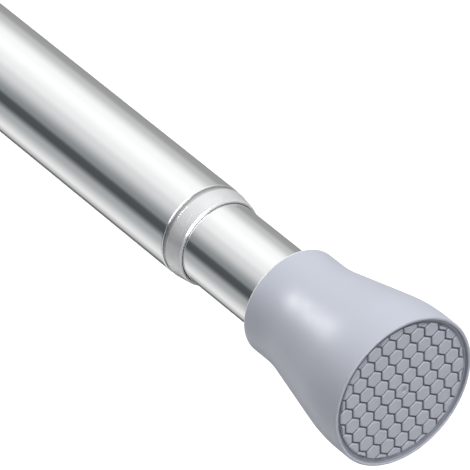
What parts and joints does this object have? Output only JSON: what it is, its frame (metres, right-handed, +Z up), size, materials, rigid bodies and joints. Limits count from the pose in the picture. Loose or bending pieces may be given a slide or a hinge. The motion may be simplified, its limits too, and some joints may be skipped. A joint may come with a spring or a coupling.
{
  "type": "spring tension rod",
  "caption": "Telescopic chromed tension rod with a twist lock, an inner spring, a clear guide collar and grey rubber feet with a honeycomb grip face.",
  "frame": {"origin": "centre of the fixed foot's wall face, on the rod's axis", "axes": "+X along the rod from the fixed foot to the sliding foot, +Z up"},
  "size_m": [0.406, 0.04, 0.04],
  "materials": {
    "chrome": "bright chrome plate on steel tube",
    "clear_plastic": "clear moulded plastic, glossy",
    "grey_rubber": "satin moulded rubber, cool grey",
    "white_plastic": "natural moulded nylon",
    "black_plastic": "black moulded plastic",
    "zinc_steel": "zinc plated steel",
    "spring_steel": "drawn spring wire"
  },
  "bodies": {
    "outer": {"outer_tube": "chrome", "mouth_collar": "clear_plastic", "outer_end_cap": "grey_rubber", "outer_tube_plug": "white_plastic"},
    "sleeve": {"lock_sleeve": "white_plastic"},
    "wedge": {"wedge_nut": "black_plastic"},
    "spindle": {"lock_screw": "zinc_steel", "end_washer": "zinc_steel", "end_screw": "zinc_steel", "thrust_washer": "zinc_steel", "sliding_plug": "black_plastic", "drive_pin": "zinc_steel", "plug_washer": "zinc_steel"},
    "inner": {"inner_tube": "chrome", "inner_end_cap": "grey_rubber", "inner_tube_plug": "white_plastic", "tension_spring": "spring_steel", "stop_washer": "zinc_steel", "spring_stop": "black_plastic", "stop_pin": "zinc_steel"}
  },
  "joints": [
    {"name": "telescope", "type": "slide", "parent": "outer", "child": "sleeve", "axis": [1, 0, 0], "range_m": [0, 0.204]},
    {"name": "wedge", "type": "slide", "parent": "sleeve", "child": "wedge", "axis": [1, 0, 0], "range_m": [0, 0.0021]},
    {"name": "twist", "type": "hinge", "parent": "sleeve", "child": "spindle", "pos_m": [0.0572, 0, 0], "axis": [-1, 0, 0], "range_deg": [0, 360]},
    {"name": "spring_press", "type": "slide", "parent": "spindle", "child": "inner", "axis": [-1, 0, 0], "range_m": [0, 0.025], "stiffness_N_per_m": 3900, "springref_m": -0.012, "deforming": ["tension_spring"]}
  ],
  "couplings": [
    {"joint": "wedge", "follows": "twist", "m_per_rad": 0.00031831}
  ]
}
